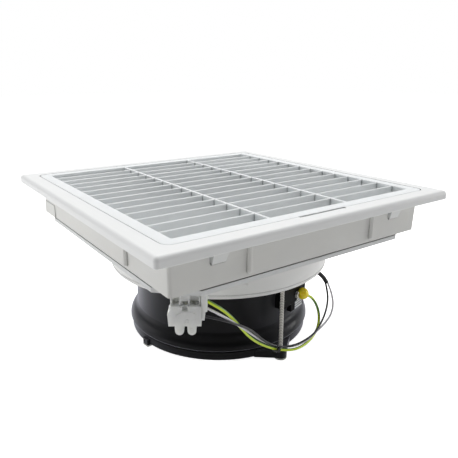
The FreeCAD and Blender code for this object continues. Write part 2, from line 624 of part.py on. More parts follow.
def terminal_block():
    """Body with cut shoulders, a raised panel on its face, and two pegs."""
    body = on_front([(-11.3, BLOCK_BOTTOM), (BLOCK_RIGHT, BLOCK_BOTTOM), (BLOCK_RIGHT, BLOCK_TOP),
                     (HANGER_LEFT, BLOCK_TOP), (HANGER_LEFT, 94.7), (-12.1, 91.2)],
                    BLOCK_FRONT, BLOCK_BACK - BLOCK_FRONT)
    low_left, high_left, shoulder = Vector(-6, 0, 83.4), Vector(-6, 0, 88.6), Vector(-4.6, 0, 90.6)
    high_right, low_right = Vector(10.9, 0, 91.6), Vector(10.9, 0, 83.4)
    edges = [Part.LineSegment(low_left, high_left), Part.LineSegment(high_left, shoulder),
             Part.Arc(shoulder, Vector(3.6, 0, 93.4), high_right),
             Part.LineSegment(high_right, low_right), Part.LineSegment(low_right, low_left)]
    panel = Part.Face(Part.Wire([edge.toShape() for edge in edges])).extrude(Vector(0, 1.5, 0))
    panel.translate(Vector(0, BLOCK_FRONT - 0.5, 0))
    block = joined([body, panel, prong(-6.6, 1.6, -2.6, 3.7), prong(3.7, 11.5, 7.6, 3.6)])
    block = block.cut(front_mark(7.6, 75.6, 2.2, 1.5, -5, 0.3))
    block = block.cut(front_mark(3.7, 85.6, 2.1, 1.5, BLOCK_FRONT - 0.5, 0.4))
    block = block.cut(box(0.1, 4.5, BLOCK_FRONT - 1, BLOCK_FRONT + 3.4, 94.0, BLOCK_TOP + 1))
    for x in POLES:
        block = block.cut(box(x - 2.6, x + 2.6, -4.2, 4.2, CLAMP_BOTTOM, CLAMP_TOP))
        block = block.cut(cylinder(2.7, CLAMP_TOP - 1, TOP, x, 0))
    return [to_corner(block)]


def terminal_clamps():
    clamp = box(-2.6, 2.6, -4.2, 4.2, CLAMP_BOTTOM, CLAMP_TOP)
    wire_level = CLAMP_BOTTOM + 3.2
    clamp = clamp.cut(Part.makeCylinder(1.6, 20, Vector(0, -10, wire_level), Vector(0, 1, 0)))
    clamp = clamp.cut(cylinder(1.6, wire_level, TOP))
    return [to_corner(placed(clamp, x, 0, 0)) for x in POLES]


def terminal_screws():
    screw = pan_screw(2.5, 2.0, 1.6, 6.0)
    return [to_corner(placed(screw, x, 0, CLAMP_TOP + 0.2)) for x in POLES]


def terminal_plug():
    """Plug on the end of the block; its lower step slopes back."""
    upper = box(BLOCK_RIGHT, PLUG_RIGHT, -7, 7, 92.7, 108.5)
    upper = rounded(upper, 0.8, lambda edge: edge.BoundBox.XMin > PLUG_RIGHT - 0.01)
    lower = on_front([(BLOCK_RIGHT, 84.6), (BLOCK_RIGHT + 2.5, 84.6),
                      (BLOCK_RIGHT + 3.6, 93.5), (BLOCK_RIGHT, 93.5)], -6, 12)
    latch = box(BLOCK_RIGHT, BLOCK_RIGHT + 3.2, -4, 4, 108, 110.5)
    return [to_corner(joined([upper, lower, latch]))]


def terminal_hanger():
    """Bracket between the tray and the block: a back wall with ribs and a latch tongue before it."""
    top = TRAY_BOTTOM + 2.0
    front = -5.0
    plate = box(-11.5, 15.2, front, 5, top - 2.4, top)
    wall = box(HANGER_LEFT, HANGER_RIGHT, WALL_FRONT, WALL_FRONT + 2, BLOCK_TOP, top - 1)
    shapes = [plate, wall]
    for left, right in ((HANGER_LEFT, -8.6), (-2.7, -1.1), (13.4, HANGER_RIGHT)):
        shapes.append(box(left, right, front, WALL_FRONT + 1, BLOCK_TOP, top - 1))
    tongue = box(-1.2, 6.3, front + 0.6, front + 2.6, BLOCK_TOP, top - 1)
    tongue = tongue.cut(box(0.1, 4.5, front, front + 3, BLOCK_TOP - 1, BLOCK_TOP + 3.4))
    hanger = joined(shapes + [tongue])
    for x in HANGER_SCREWS:
        hanger = hanger.cut(cylinder(1.3, top - 5, top + 1, x, 0))
    return [to_corner(hanger)]


def hanger_screws():
    screw = pan_screw(1.9, 1.5, 1.2, 4.6)
    return [to_corner(placed(screw, x, 0, TRAY_BOTTOM - 0.4, upside_down=True)) for x in HANGER_SCREWS]


# Motor

ARM_ANGLES = [ARM_ANGLE + 90 * number for number in range(4)]
MOTOR_SCREW_PCD = 27.0
MOTOR_SCREW_ANGLES = (-25, 65, 155, 245)
CORE_RADIUS = 30.0
CAGE_RADIUS = 30.5


def motor_support():
    plate = cylinder(37.0, PLATE_BOTTOM, PLATE_TOP)
    rim = ring(37.0, 34.5, SUPPORT_BOTTOM, SUPPORT_TOP)
    arm = box(34.5, 95, -3.5, 3.5, SUPPORT_BOTTOM, SUPPORT_TOP).common(cylinder(NECK_BORE, 0, TOP))
    support = joined([plate, rim] + around(arm, ARM_ANGLES))
    support = support.cut(cylinder(14.0, 0, TOP))
    for screw_hole in around(cylinder(1.7, 0, TOP, MOTOR_SCREW_PCD, 0), MOTOR_SCREW_ANGLES):
        support = support.cut(screw_hole)
    return [support]


def motor_base():
    cover = cylinder(33.5, PLATE_TOP, MOTOR_BASE_TOP)
    cover = rounded(cover, 3.0, at_level(MOTOR_BASE_TOP))
    cover = cover.cut(cylinder(23.0, PLATE_TOP - 1, MOTOR_BASE_TOP - 2.5))
    for screw_hole in around(cylinder(1.7, 0, TOP, MOTOR_SCREW_PCD, 0), MOTOR_SCREW_ANGLES):
        cover = cover.cut(screw_hole)
    boss = cylinder(12.0, MOTOR_BASE_TOP, MOTOR_BASE_TOP + 1.2)
    return [cover.fuse(boss).removeSplitter()]


def motor_screws():
    screw = placed(pan_screw(3.0, 2.0, 1.5, 15.5), MOTOR_SCREW_PCD, 0, MOTOR_BASE_TOP)
    return around(screw, MOTOR_SCREW_ANGLES)


def bearing_tube():
    tube = joined([cylinder(32.0, 57.0, PLATE_BOTTOM), cylinder(13.0, CUP_BOTTOM + 3.0, 57.5)])
    tube = tube.cut(cylinder(BEARING_RADIUS, 0, TOP))
    for screw_hole in around(cylinder(1.5, 0, TOP, MOTOR_SCREW_PCD, 0), MOTOR_SCREW_ANGLES):
        tube = tube.cut(screw_hole)
    return [tube]


def stator_core():
    core = ring(CORE_RADIUS, 13.0, 34.0, 50.0)
    slot = joined([box(17.5, 28.0, -2.6, 2.6, 33, 51), box(27, 31, -0.9, 0.9, 33, 51)])
    for opening in around(slot, range(0, 360, 30)):
        core = core.cut(opening)
    return [core]


def stator_windings():
    """End turns over the teeth, above and below the core."""
    coils = []
    for low, high in ((29.5, 34.0), (50.0, 54.5)):
        coil = ring(28.5, 16.5, low, high).common(box(16, 29, -4.2, 4.2, 0, TOP))
        coils += around(coil, range(15, 375, 30))
    return coils


def bearing(bottom):
    """Ball bearing with a shoulder on each face between its two rings."""
    body = ring(BEARING_RADIUS, SHAFT_RADIUS + BEARING_CLEARANCE, bottom, bottom + BEARING_HEIGHT)
    groove = ring(7.9, 4.9, bottom - 1, bottom + 0.5)
    upper = ring(7.9, 4.9, bottom + BEARING_HEIGHT - 0.5, bottom + BEARING_HEIGHT + 1)
    return [body.cut(groove).cut(upper)]


def lower_bearing():
    return bearing(LOWER_BEARING)


def upper_bearing():
    return bearing(UPPER_BEARING)


def bearing_spring():
    bottom = UPPER_BEARING + BEARING_HEIGHT
    return [ring(9.3, 6.6, bottom, bottom + 0.9)]


def fan_shaft():
    shaft = cylinder(SHAFT_RADIUS, CUP_BOTTOM, 62.0)
    return [rounded(shaft, 0.6, at_level(62.0))]


def shaft_circlip():
    clip = ring(5.4, SHAFT_RADIUS, 57.6, 58.4).cut(box(0, 8, -1.4, 1.4, 57, 59))
    return [clip]


def rotor_cup():
    cup = turned(
        (SHAFT_RADIUS, CUP_BOTTOM), (CUP_RADIUS - 2, CUP_BOTTOM),
        (CUP_RADIUS, CUP_BOTTOM + 2, 38.41, CUP_BOTTOM + 0.59),
        (CUP_RADIUS, CUP_TOP), (36.5, CUP_TOP), (36.5, CUP_BOTTOM + 2), (6.5, CUP_BOTTOM + 2),
        (6.5, 26.0), (SHAFT_RADIUS, 26.0))
    for screw_hole in around(cylinder(1.5, 0, 30, 22, 0), (30, 150, 270)):
        cup = cup.cut(screw_hole)
    return [cup]


def rotor_cage():
    return [ring(36.5, CAGE_RADIUS, 32.0, 52.0)]


def blade_outline(radius, chord, pitch, camber, thickness, z_middle):
    """Cambered blade section in the plane that touches the cylinder of this radius."""
    slope = math.radians(pitch)
    along = Vector(0, math.cos(slope), math.sin(slope))
    across = Vector(0, -math.sin(slope), math.cos(slope))
    centre = Vector(radius, 0, z_middle)

    def point(forward, up):
        return centre.add(Vector(along).multiply(forward)).add(Vector(across).multiply(up))

    half, skin = chord / 2, thickness / 2
    top = [point(-half, skin * 0.5), point(0, camber + skin), point(half, skin * 0.5)]
    bottom = [point(half, -skin * 0.5), point(0, camber - skin), point(-half, -skin * 0.5)]
    return Part.Wire([
        Part.Arc(*top).toShape(), Part.LineSegment(top[2], bottom[0]).toShape(),
        Part.Arc(*bottom).toShape(), Part.LineSegment(bottom[2], top[0]).toShape()])


def impeller():
    root = blade_outline(38.0, 36.0, 42.0, 3.0, 3.0, 36.0)
    middle = blade_outline(64.0, 48.0, 31.0, 4.0, 2.4, 36.0)
    tip = blade_outline(90.0, 60.0, 23.0, 4.5, 1.8, 36.0)
    blade = Part.makeLoft([root, middle, tip], True, False)
    blade = blade.common(cylinder(BLADE_TIP, 0, TOP).cut(cylinder(HUB_RADIUS - 1.5, -1, TOP + 1)))
    hub = turned(
        (5.0, HUB_BOTTOM), (HUB_RADIUS - 4, HUB_BOTTOM),
        (HUB_RADIUS, HUB_BOTTOM + 4, 40.83, HUB_BOTTOM + 1.17),
        (HUB_RADIUS, CUP_TOP), (CUP_RADIUS, CUP_TOP), (CUP_RADIUS, CUP_BOTTOM + 2),
        (CUP_RADIUS - 2, CUP_BOTTOM, 38.41, CUP_BOTTOM + 0.59), (5.0, CUP_BOTTOM))
    wheel = joined([hub] + around(blade, [360.0 * number / BLADES for number in range(BLADES)]))
    for screw_hole in around(cylinder(1.7, 0, 30, 22, 0), (30, 150, 270)):
        wheel = wheel.cut(screw_hole)
    return [wheel]


def impeller_screws():
    screw = placed(pan_screw(3.0, 1.9, 1.5, 5.5), 22, 0, HUB_BOTTOM, upside_down=True)
    return around(screw, (30, 150, 270))


PARTS = [
    fascia_frame, grille_panel, release_tab, skirt_box, fascia_clips, spacer_tray, tray_screws,
    inlet_bowl, bowl_screws, fan_tube, tube_feet, tube_screws, tube_screw_nuts, lead_cover,
    rating_label, earth_screw, earth_crimp, lead_sleeve, motor_lead, earth_wire, neutral_wire,
    live_wire, wire_tie, terminal_block, terminal_clamps, terminal_screws, terminal_plug,
    terminal_hanger, hanger_screws, motor_support, motor_base, motor_screws, bearing_tube,
    stator_core, stator_windings, lower_bearing, upper_bearing, bearing_spring, fan_shaft,
    shaft_circlip, rotor_cup, rotor_cage, impeller, impeller_screws]

os.makedirs("parts", exist_ok=True)
for part in PARTS:
    solids = part()
    shape = solids[0] if len(solids) == 1 else Part.makeCompound(solids)
    print(part.__name__, "valid", shape.isValid(), "solids", len(shape.Solids), "volume %.0f" % shape.Volume)
    shape.exportStep("parts/" + part.__name__ + ".step")
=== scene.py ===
import math

import bmesh
import bpy
from mathutils import Matrix, Vector


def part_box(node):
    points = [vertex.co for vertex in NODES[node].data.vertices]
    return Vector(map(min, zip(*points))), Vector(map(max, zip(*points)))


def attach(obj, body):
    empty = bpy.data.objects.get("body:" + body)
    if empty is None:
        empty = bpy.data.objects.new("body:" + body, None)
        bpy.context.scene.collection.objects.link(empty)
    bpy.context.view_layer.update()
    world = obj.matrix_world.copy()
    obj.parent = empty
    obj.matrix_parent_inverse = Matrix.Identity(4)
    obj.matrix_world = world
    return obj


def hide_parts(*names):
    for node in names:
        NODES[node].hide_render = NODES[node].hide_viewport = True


# Looks of a ceiling extractor fan that stands on its fan end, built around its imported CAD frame.
# Lengths are in metres, in the frame of the CAD model. Routes, outlines and the sizes of screws are in
# millimetres, and MM turns them into metres.

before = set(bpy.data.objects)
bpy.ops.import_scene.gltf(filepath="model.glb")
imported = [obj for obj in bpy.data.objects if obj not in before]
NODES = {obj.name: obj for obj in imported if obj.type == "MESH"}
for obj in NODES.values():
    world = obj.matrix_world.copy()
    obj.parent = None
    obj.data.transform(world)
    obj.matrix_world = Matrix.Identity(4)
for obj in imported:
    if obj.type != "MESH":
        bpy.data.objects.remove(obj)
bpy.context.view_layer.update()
MM = 0.001


# Node helpers

class Surface:
    """A material with a Principled shader, whose colour, roughness and bump come from textures."""

    def __init__(self, name, **uniform):
        self.material = bpy.data.materials.new(name)
        self.material.use_nodes = True
        self.tree = self.material.node_tree
        self.shader = self.tree.nodes["Principled BSDF"]
        for socket, value in uniform.items():
            self.shader.inputs[socket.replace("_", " ")].default_value = value
        self.place = self.tree.nodes.new("ShaderNodeTexCoord").outputs["Object"]
        self.normal = None

    def node(self, kind, **inputs):
        """New node; inputs are values or sockets, by name."""
        made = self.tree.nodes.new("ShaderNode" + kind)
        for name, value in inputs.items():
            self.join(value, made.inputs[name.replace("_", " ")])
        return made

    def join(self, value, socket):
        """Give an input a value, or link another node's output to it."""
        if isinstance(value, bpy.types.NodeSocket):
            self.tree.links.new(value, socket)
        else:
            socket.default_value = value

    def stretched(self, x, y, z):
        """Object coordinates with each axis scaled on its own."""
        return self.node("Mapping", Vector=self.place, Scale=(x, y, z)).outputs["Vector"]

    def noise(self, size, detail=2.0, roughness=0.55, where=None, distortion=0.0):
        """Noise with features about this many metres wide."""
        return self.node("TexNoise", Vector=where or self.place, Scale=1.0 / size, Detail=detail,
                         Roughness=roughness, Distortion=distortion).outputs["Fac"]

    def between(self, factor, low, high, start=0.3, end=0.7):
        """Number that goes from low to high as the factor goes from start to end."""
        return self.node("MapRange", Value=factor, From_Min=start, From_Max=end,
                         To_Min=low, To_Max=high).outputs["Result"]

    def blend(self, factor, first, second):
        """Colour between two colours, each a tuple or a socket."""
        mix = self.tree.nodes.new("ShaderNodeMix")
        mix.data_type = "RGBA"
        for value, place in ((factor, 0), (first, 6), (second, 7)):
            if isinstance(value, tuple):
                value = value + (1.0,)
            self.join(value, mix.inputs[place])
        return mix.outputs[2]

    def calculate(self, operation, first, second):
        """Result of a sum on two numbers or sockets."""
        made = self.tree.nodes.new("ShaderNodeMath")
        made.operation = operation
        self.join(first, made.inputs[0])
        self.join(second, made.inputs[1])
        return made.outputs[0]

    def rough(self, value):
        self.join(value, self.shader.inputs["Roughness"])

    def colour(self, value):
        self.join(value, self.shader.inputs["Base Color"])

    def bump(self, height, distance):
        """Bump of this height in metres, on top of any before it."""
        made = self.node("Bump", Height=height, Strength=1.0, Distance=distance)
        if self.normal is not None:
            self.tree.links.new(self.normal, made.inputs["Normal"])
        self.normal = made.outputs["Normal"]
        self.tree.links.new(self.normal, self.shader.inputs["Normal"])
        return self

    def crease_shade(self, colour, tint, reach, amount):
        """Painted shade: a darker tint in creases, where shadow lies."""
        crease = self.node("AmbientOcclusion", Distance=reach)
        crease.samples = 6
        openness = self.between(crease.outputs["AO"], amount, 0.0, 0.25, 0.85)
        return self.blend(openness, colour, tint)


# Materials

# Thread of the long screws, in millimetres: the crest and the root are radii
THREAD_PITCH = 1.75
THREAD_CREST = 2.05
THREAD_ROOT = 1.40


def moulded_white(name, tint, gloss, tone=0.02, depth=0.012 * MM, milky=0.04, milk_scale=1.5 * MM,
                  crease=0.16):
    """White ABS: faint flow marks, a spark-eroded grain, and painted shade in creases, down to a share of the
    tint.
    """
    surface = Surface(name, Specular_IOR_Level=0.42, Subsurface_Weight=milky, Subsurface_Scale=milk_scale)
    surface.shader.inputs["Subsurface Radius"].default_value = (1.0, 1.0, 1.0)
    darker = tuple(max(0.0, channel - tone) for channel in tint)
    yellowed = (tint[0], tint[1] - tone * 0.3, tint[2] - tone)
    flow = surface.noise(60 * MM, 3.0, where=surface.stretched(1.0, 0.35, 1.6), distortion=0.6)
    patches = surface.noise(28 * MM, 2.0)
    colour = surface.blend(surface.between(flow, 0.0, 1.0), darker, tint)
    colour = surface.blend(surface.between(patches, 0.0, 0.35), colour, yellowed)
    # Painted shade: a wide soft darkening near gaps, then a narrow dark line in the tightest creases.
    colour = surface.crease_shade(colour, tuple(channel * 0.62 for channel in tint), 5 * MM, 0.4)
    surface.colour(surface.crease_shade(colour, tuple(channel * crease for channel in tint), 1.6 * MM, 1.0))
    surface.rough(surface.between(surface.noise(9 * MM, 4.0), *gloss))
    surface.bump(surface.noise(0.45 * MM, 3.0), depth)
    return surface.bump(surface.noise(14 * MM, 1.0), depth * 3).material


def moulded_black(name, base, gloss, shine=0.5, bloom=0.0):
    """Black nylon: rubbed patches, a fine grain, and a bluish bloom on surfaces seen at a slant."""
    surface = Surface(name, Specular_IOR_Level=shine, Sheen_Weight=bloom, Sheen_Roughness=0.40)
    surface.shader.inputs["Sheen Tint"].default_value = (0.86, 0.87, 1.0, 1.0)
    rubbed = surface.noise(22 * MM, 5.0, where=surface.stretched(1.0, 1.0, 2.2), distortion=0.4)
    colour = surface.blend(surface.between(rubbed, 0.0, 1.0),
                           (base, base, base * 1.06), (base * 1.3, base * 1.3, base * 1.4))
    surface.colour(colour)
    surface.rough(surface.between(surface.noise(30 * MM, 3.0), *gloss))
    surface.bump(surface.noise(0.6 * MM, 3.0), 0.016 * MM)
    return surface.bump(surface.noise(40 * MM, 1.0), 0.048 * MM).material


def clear_rubber():
    """Pale translucent rubber, dusty where it has been handled."""
    surface = Surface("clear_rubber", Specular_IOR_Level=0.4, Subsurface_Weight=0.4, Subsurface_Scale=2 * MM)
    surface.shader.inputs["Subsurface Radius"].default_value = (1.0, 1.0, 0.95)
    dusty = surface.noise(4 * MM, 4.0)
    surface.colour(surface.blend(surface.between(dusty, 0.0, 0.8), (0.62, 0.63, 0.60), (0.45, 0.45, 0.42)))
    surface.rough(surface.between(dusty, 0.35, 0.6))
    return surface.bump(surface.noise(0.5 * MM, 3.0), 0.03 * MM).material


def frosted_nylon():
    """Natural nylon: milky and translucent."""
    surface = Surface("frosted_nylon", Specular_IOR_Level=0.5, Subsurface_Weight=0.75,
                      Subsurface_Scale=6 * MM, Transmission_Weight=0.10, IOR=1.5)
    surface.shader.inputs["Subsurface Radius"].default_value = (1.0, 1.0, 0.92)
    clouds = surface.noise(6 * MM, 4.0, distortion=0.8)
    surface.colour(surface.blend(surface.between(clouds, 0.0, 1.0), (0.88, 0.90, 0.86), (0.96, 0.97, 0.94)))
    surface.rough(surface.between(surface.noise(2.5 * MM, 3.0), 0.30, 0.46))
    return surface.bump(surface.noise(0.9 * MM, 3.0), 0.03 * MM).material


def plated(name, light, dark, gloss, grain=0.25 * MM):
    """Plated or machined metal with cloudy tarnish, a fine grain, and painted shade in its creases."""
    surface = Surface(name, Metallic=1.0)
    tarnish = surface.noise(1.6 * MM, 5.0, distortion=0.5)
    colour = surface.blend(surface.between(tarnish, 0.0, 1.0), dark, light)
    # Painted shade in creases.
    surface.colour(surface.crease_shade(colour, tuple(channel * 0.35 for channel in dark), 0.8 * MM, 0.7))
    surface.rough(surface.between(surface.noise(0.96 * MM, 4.0), *gloss))
    return surface.bump(surface.noise(grain, 2.0), 0.006 * MM).material


def threaded_zinc():
    """Zinc on a rolled thread: bright crests, and roots darkened as painted shade."""
    surface = Surface("threaded_zinc", Metallic=0.1)
    parts = surface.node("SeparateXYZ", Vector=surface.place)
    flat = surface.node("CombineXYZ", X=parts.outputs["X"], Y=parts.outputs["Y"])
    radius = surface.node("VectorMath", Vector=flat.outputs["Vector"])
    radius.operation = "LENGTH"
    height = surface.between(radius.outputs["Value"], 0.0, 1.0, THREAD_ROOT * MM, THREAD_CREST * MM)
    tarnish = surface.noise(1.4 * MM, 4.0, distortion=0.5)
    crest = surface.blend(surface.between(tarnish, 0.0, 1.0), (0.84, 0.82, 0.76), (0.95, 0.93, 0.88))
    # Painted shade: darker towards the root of the thread, so the thread reads as ribs.
    surface.colour(surface.blend(surface.between(height, 0.0, 1.0, 0.05, 0.60), (0.34, 0.33, 0.30), crest))
    surface.rough(surface.between(tarnish, 0.48, 0.30))
    return surface.bump(surface.noise(0.25 * MM, 2.0), 0.006 * MM).material


def cast_alloy():
    """Die-cast aluminium with a rough skin."""
    surface = Surface("cast_alloy", Metallic=1.0)
    skin = surface.noise(3 * MM, 6.0, 0.65)
    surface.colour(surface.blend(surface.between(skin, 0.0, 1.0), (0.42, 0.43, 0.45), (0.66, 0.67, 0.69)))
    surface.rough(surface.between(skin, 0.62, 0.44))
    return surface.bump(surface.noise(0.8 * MM, 5.0, 0.7), 0.06 * MM).material


def black_steel():
    """Stoved black paint with faint orange peel."""
    surface = Surface("black_steel", Specular_IOR_Level=0.55)
    peel = surface.noise(1.8 * MM, 3.0)
    surface.colour(surface.blend(surface.between(surface.noise(14 * MM, 4.0), 0.0, 1.0),
                                 (0.012, 0.012, 0.013), (0.028, 0.028, 0.030)))
    surface.rough(surface.between(surface.noise(7 * MM, 3.0), 0.22, 0.34))
    return surface.bump(peel, 0.03 * MM).material


def layered(name, light, dark, pitch, gloss):
    """Metal in thin layers stacked along Z: laminations, or wound wire."""
    surface = Surface(name, Metallic=1.0)
    height = surface.node("SeparateXYZ", Vector=surface.place).outputs["Z"]
    wobble = surface.calculate("MULTIPLY", surface.noise(6 * MM, 2.0), 0.12 * pitch)
    layer = surface.calculate("PINGPONG", surface.calculate("ADD", height, wobble), pitch / 2)
    share = surface.calculate("DIVIDE", layer, pitch / 2)
    surface.colour(surface.blend(surface.between(share, 0.0, 1.0, 0.05, 0.5), dark, light))
    surface.rough(surface.between(surface.noise(2 * MM, 3.0), *gloss))
    return surface.bump(share, pitch * 0.3).material


def insulation(name, base, stripe=None, share=0.0, twist=0.0, start=0.0):
    """PVC insulation; a stripe covers twice its share of a turn, and winds most near the far end."""
    surface = Surface(name, Specular_IOR_Level=0.5, Coat_Weight=0.08)
    along_around = surface.node("SeparateXYZ", Vector=surface.node("TexCoord").outputs["UV"])
    along, around = along_around.outputs["X"], along_around.outputs["Y"]
    mottle = surface.noise(4 * MM, 3.0)
    colour = surface.blend(surface.between(mottle, 0.0, 1.0), tuple(channel * 0.86 for channel in base), base)
    if stripe:
        late = surface.calculate("POWER", along, 3.0)
        turned = surface.calculate("ADD", around, surface.calculate("MULTIPLY", late, twist))
        turned = surface.calculate("ADD", turned, start)
        phase = surface.calculate("PINGPONG", turned, 0.5)
        edge = surface.between(phase, 1.0, 0.0, share - 0.015, share + 0.015)
        colour = surface.blend(edge, colour, stripe)
    # Painted shade in creases, and where the wire lies against other parts.
    surface.colour(surface.crease_shade(colour, tuple(channel * 0.4 for channel in base), 1.2 * MM, 0.4))
    surface.rough(surface.between(surface.noise(3 * MM, 3.0), 0.26, 0.36))
    return surface.bump(surface.noise(1.5 * MM, 2.0), 0.03 * MM).material


def woven_sleeve():
    """Black glass-fibre sleeve: a fine diagonal braid."""
    surface = Surface("woven_sleeve", Specular_IOR_Level=0.4)
    uv = surface.node("TexCoord").outputs["UV"]
    scaled = surface.node("Mapping", Vector=uv, Scale=(48.0, 12.0, 1.0)).outputs["Vector"]
    parts = surface.node("SeparateXYZ", Vector=scaled)
    one = surface.calculate("ADD", parts.outputs["X"], parts.outputs["Y"])
    two = surface.calculate("SUBTRACT", parts.outputs["X"], parts.outputs["Y"])
    braid = surface.calculate("MULTIPLY", surface.calculate("PINGPONG", one, 0.5),
                              surface.calculate("PINGPONG", two, 0.5))
    surface.colour(surface.blend(surface.between(braid, 0.0, 1.0, 0.0, 0.2), (0.008, 0.008, 0.008),
                                 (0.03, 0.03, 0.032)))
    surface.rough(surface.between(braid, 0.7, 0.45, 0.0, 0.2))
    return surface.bump(braid, 0.25 * MM).material


def yellow_vinyl():
    """Soft yellow vinyl, slightly clouded."""
    surface = Surface("yellow_vinyl", Specular_IOR_Level=0.5, Subsurface_Weight=0.05, Subsurface_Scale=1 * MM)
    surface.shader.inputs["Subsurface Radius"].default_value = (1.0, 0.7, 0.1)
    clouds = surface.noise(3 * MM, 3.0)
    surface.colour(surface.blend(surface.between(clouds, 0.0, 1.0), (0.95, 0.66, 0.004), (1.0, 0.84, 0.008)))
    surface.rough(surface.between(clouds, 0.34, 0.24))
    return surface.bump(surface.noise(1.2 * MM, 2.0), 0.05 * MM).material


def coated_paper():
    """Blank coated label with a pale band and plain ruled bars, no lettering."""
    surface = Surface("coated_paper", Specular_IOR_Level=0.5)
    fibre = surface.noise(0.6 * MM, 4.0)
    parts = surface.node("SeparateXYZ", Vector=surface.place)
    low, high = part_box("rating_label")
    height = surface.between(parts.outputs["Z"], 0.0, 1.0, low.z, high.z)
    bars = surface.calculate("PINGPONG", height, 0.09)
    printed = surface.between(bars, 1.0, 0.0, 0.030, 0.036)
    lower = surface.between(height, 1.0, 0.0, 0.55, 0.57)
    margin = surface.between(surface.calculate("PINGPONG", height, 0.5), 0.0, 1.0, 0.08, 0.10)
    ink = surface.calculate("MULTIPLY", surface.calculate("MULTIPLY", printed, lower), margin)
    paper = surface.blend(surface.between(fibre, 0.0, 1.0), (0.70, 0.72, 0.76), (0.78, 0.79, 0.82))
    banded = surface.blend(surface.between(height, 0.0, 0.75, 0.66, 0.70), paper, (0.36, 0.39, 0.62))
    surface.colour(surface.blend(ink, banded, (0.22, 0.24, 0.26)))
    surface.rough(surface.between(fibre, 0.30, 0.42))
    return surface.bump(fibre, 0.01 * MM).material


WHITE = moulded_white("fascia_white", (0.87, 0.88, 0.88), gloss=(0.32, 0.42))
GRILLE_WHITE = moulded_white("grille_white", (0.87, 0.90, 0.915), gloss=(0.33, 0.43), milky=0.6,
                             milk_scale=4 * MM)
SKIRT_WHITE = moulded_white("skirt_white", (0.73, 0.73, 0.71), gloss=(0.42, 0.52), tone=0.03,
                            depth=0.02 * MM, crease=0.5)
CLIP_WHITE = moulded_white("clip_white", (0.77, 0.78, 0.775), gloss=(0.34, 0.44))
BOWL_WHITE = moulded_white("bowl_white", (0.87, 0.87, 0.86), gloss=(0.36, 0.46))
TRAY_WHITE = moulded_white("tray_white", (0.72, 0.73, 0.73), gloss=(0.38, 0.48))
TUBE_BLACK = moulded_black("tube_black", base=0.0008, gloss=(0.28, 0.34), shine=0.14, bloom=1.0)
SUPPORT_BLACK = moulded_black("support_black", base=0.010, gloss=(0.28, 0.40), shine=0.35)
IMPELLER_BLACK = moulded_black("impeller_black", base=0.012, gloss=(0.26, 0.38), shine=0.35)
COVER_BLACK = moulded_black("cover_black", base=0.0015, gloss=(0.34, 0.46), shine=0.05)
RUBBER = clear_rubber()
NYLON = frosted_nylon()
ZINC = plated("bright_zinc", (0.80, 0.79, 0.76), (0.55, 0.54, 0.52), (0.24, 0.42))
TIN = plated("tinned_copper", (0.78, 0.78, 0.77), (0.58, 0.57, 0.55), (0.22, 0.38))
GROUND = plated("ground_steel", (0.80, 0.80, 0.82), (0.66, 0.66, 0.68), (0.10, 0.20), grain=0.15 * MM)
SPRING = plated("spring_steel", (0.42, 0.42, 0.44), (0.24, 0.24, 0.26), (0.28, 0.42))
THREAD_ZINC = threaded_zinc()
ALLOY = cast_alloy()
BLACK_STEEL = black_steel()
LAMINATION = layered("electrical_steel", (0.46, 0.46, 0.48), (0.14, 0.14, 0.15), 0.5 * MM, (0.34, 0.5))
COPPER = layered("enamelled_copper", (0.72, 0.30, 0.13), (0.22, 0.07, 0.03), 0.45 * MM, (0.22, 0.34))
EARTH_PVC = insulation("earth_pvc", (0.12, 0.29, 0.025), (0.70, 0.88, 0.035), share=0.25, twist=1.35,
                       start=0.40)
WHITE_PVC = insulation("white_pvc", (0.90, 0.88, 0.93))
GREY_PVC = insulation("grey_pvc", (0.016, 0.016, 0.020))
LEAD_PVC = insulation("lead_pvc", (0.012, 0.012, 0.013))
SLEEVE = woven_sleeve()
TIE_NYLON = moulded_black("tie_nylon", base=0.007, gloss=(0.22, 0.32))
VINYL = yellow_vinyl()
PAPER = coated_paper()

NODE_LOOKS = {
    "fascia_frame": WHITE, "grille_panel": GRILLE_WHITE, "release_tab": WHITE, "skirt_box": SKIRT_WHITE,
    "fascia_clips": CLIP_WHITE, "spacer_tray": TRAY_WHITE, "tray_screws": ZINC, "inlet_bowl": BOWL_WHITE,
    "bowl_screws": ZINC, "fan_tube": TUBE_BLACK, "tube_feet": RUBBER, "tube_screws": ZINC,
    "tube_screw_nuts": ZINC, "lead_cover": COVER_BLACK, "rating_label": PAPER, "earth_screw": ZINC,
    "earth_crimp": VINYL, "lead_sleeve": SLEEVE, "motor_lead": LEAD_PVC, "wire_tie": TIE_NYLON,
    "terminal_block": NYLON, "terminal_clamps": ZINC, "terminal_screws": ZINC, "terminal_plug": NYLON,
    "terminal_hanger": NYLON, "hanger_screws": ZINC, "motor_support": SUPPORT_BLACK, "motor_base": ALLOY,
    "motor_screws": ZINC, "bearing_tube": ALLOY, "stator_core": LAMINATION, "stator_windings": COPPER,
    "lower_bearing": GROUND, "upper_bearing": GROUND, "bearing_spring": SPRING, "fan_shaft": GROUND,
    "shaft_circlip": SPRING, "rotor_cup": BLACK_STEEL, "rotor_cage": LAMINATION,
    "impeller": IMPELLER_BLACK, "impeller_screws": ZINC}

# Width of the rounding on the sharp edges of CAD nodes
EDGES = {
    "fascia_frame": 0.45 * MM, "skirt_box": 0.5 * MM, "fascia_clips": 0.35 * MM, "spacer_tray": 0.4 * MM,
    "terminal_block": 0.45 * MM, "terminal_plug": 0.35 * MM, "terminal_hanger": 0.3 * MM,
    "lead_cover": 0.3 * MM, "motor_support": 0.5 * MM, "inlet_bowl": 0.3 * MM, "fan_tube": 0.3 * MM,
    "rotor_cup": 0.3 * MM, "motor_base": 0.3 * MM}
EDGE_ANGLE = math.radians(38)         # an edge that turns by more than this is rounded


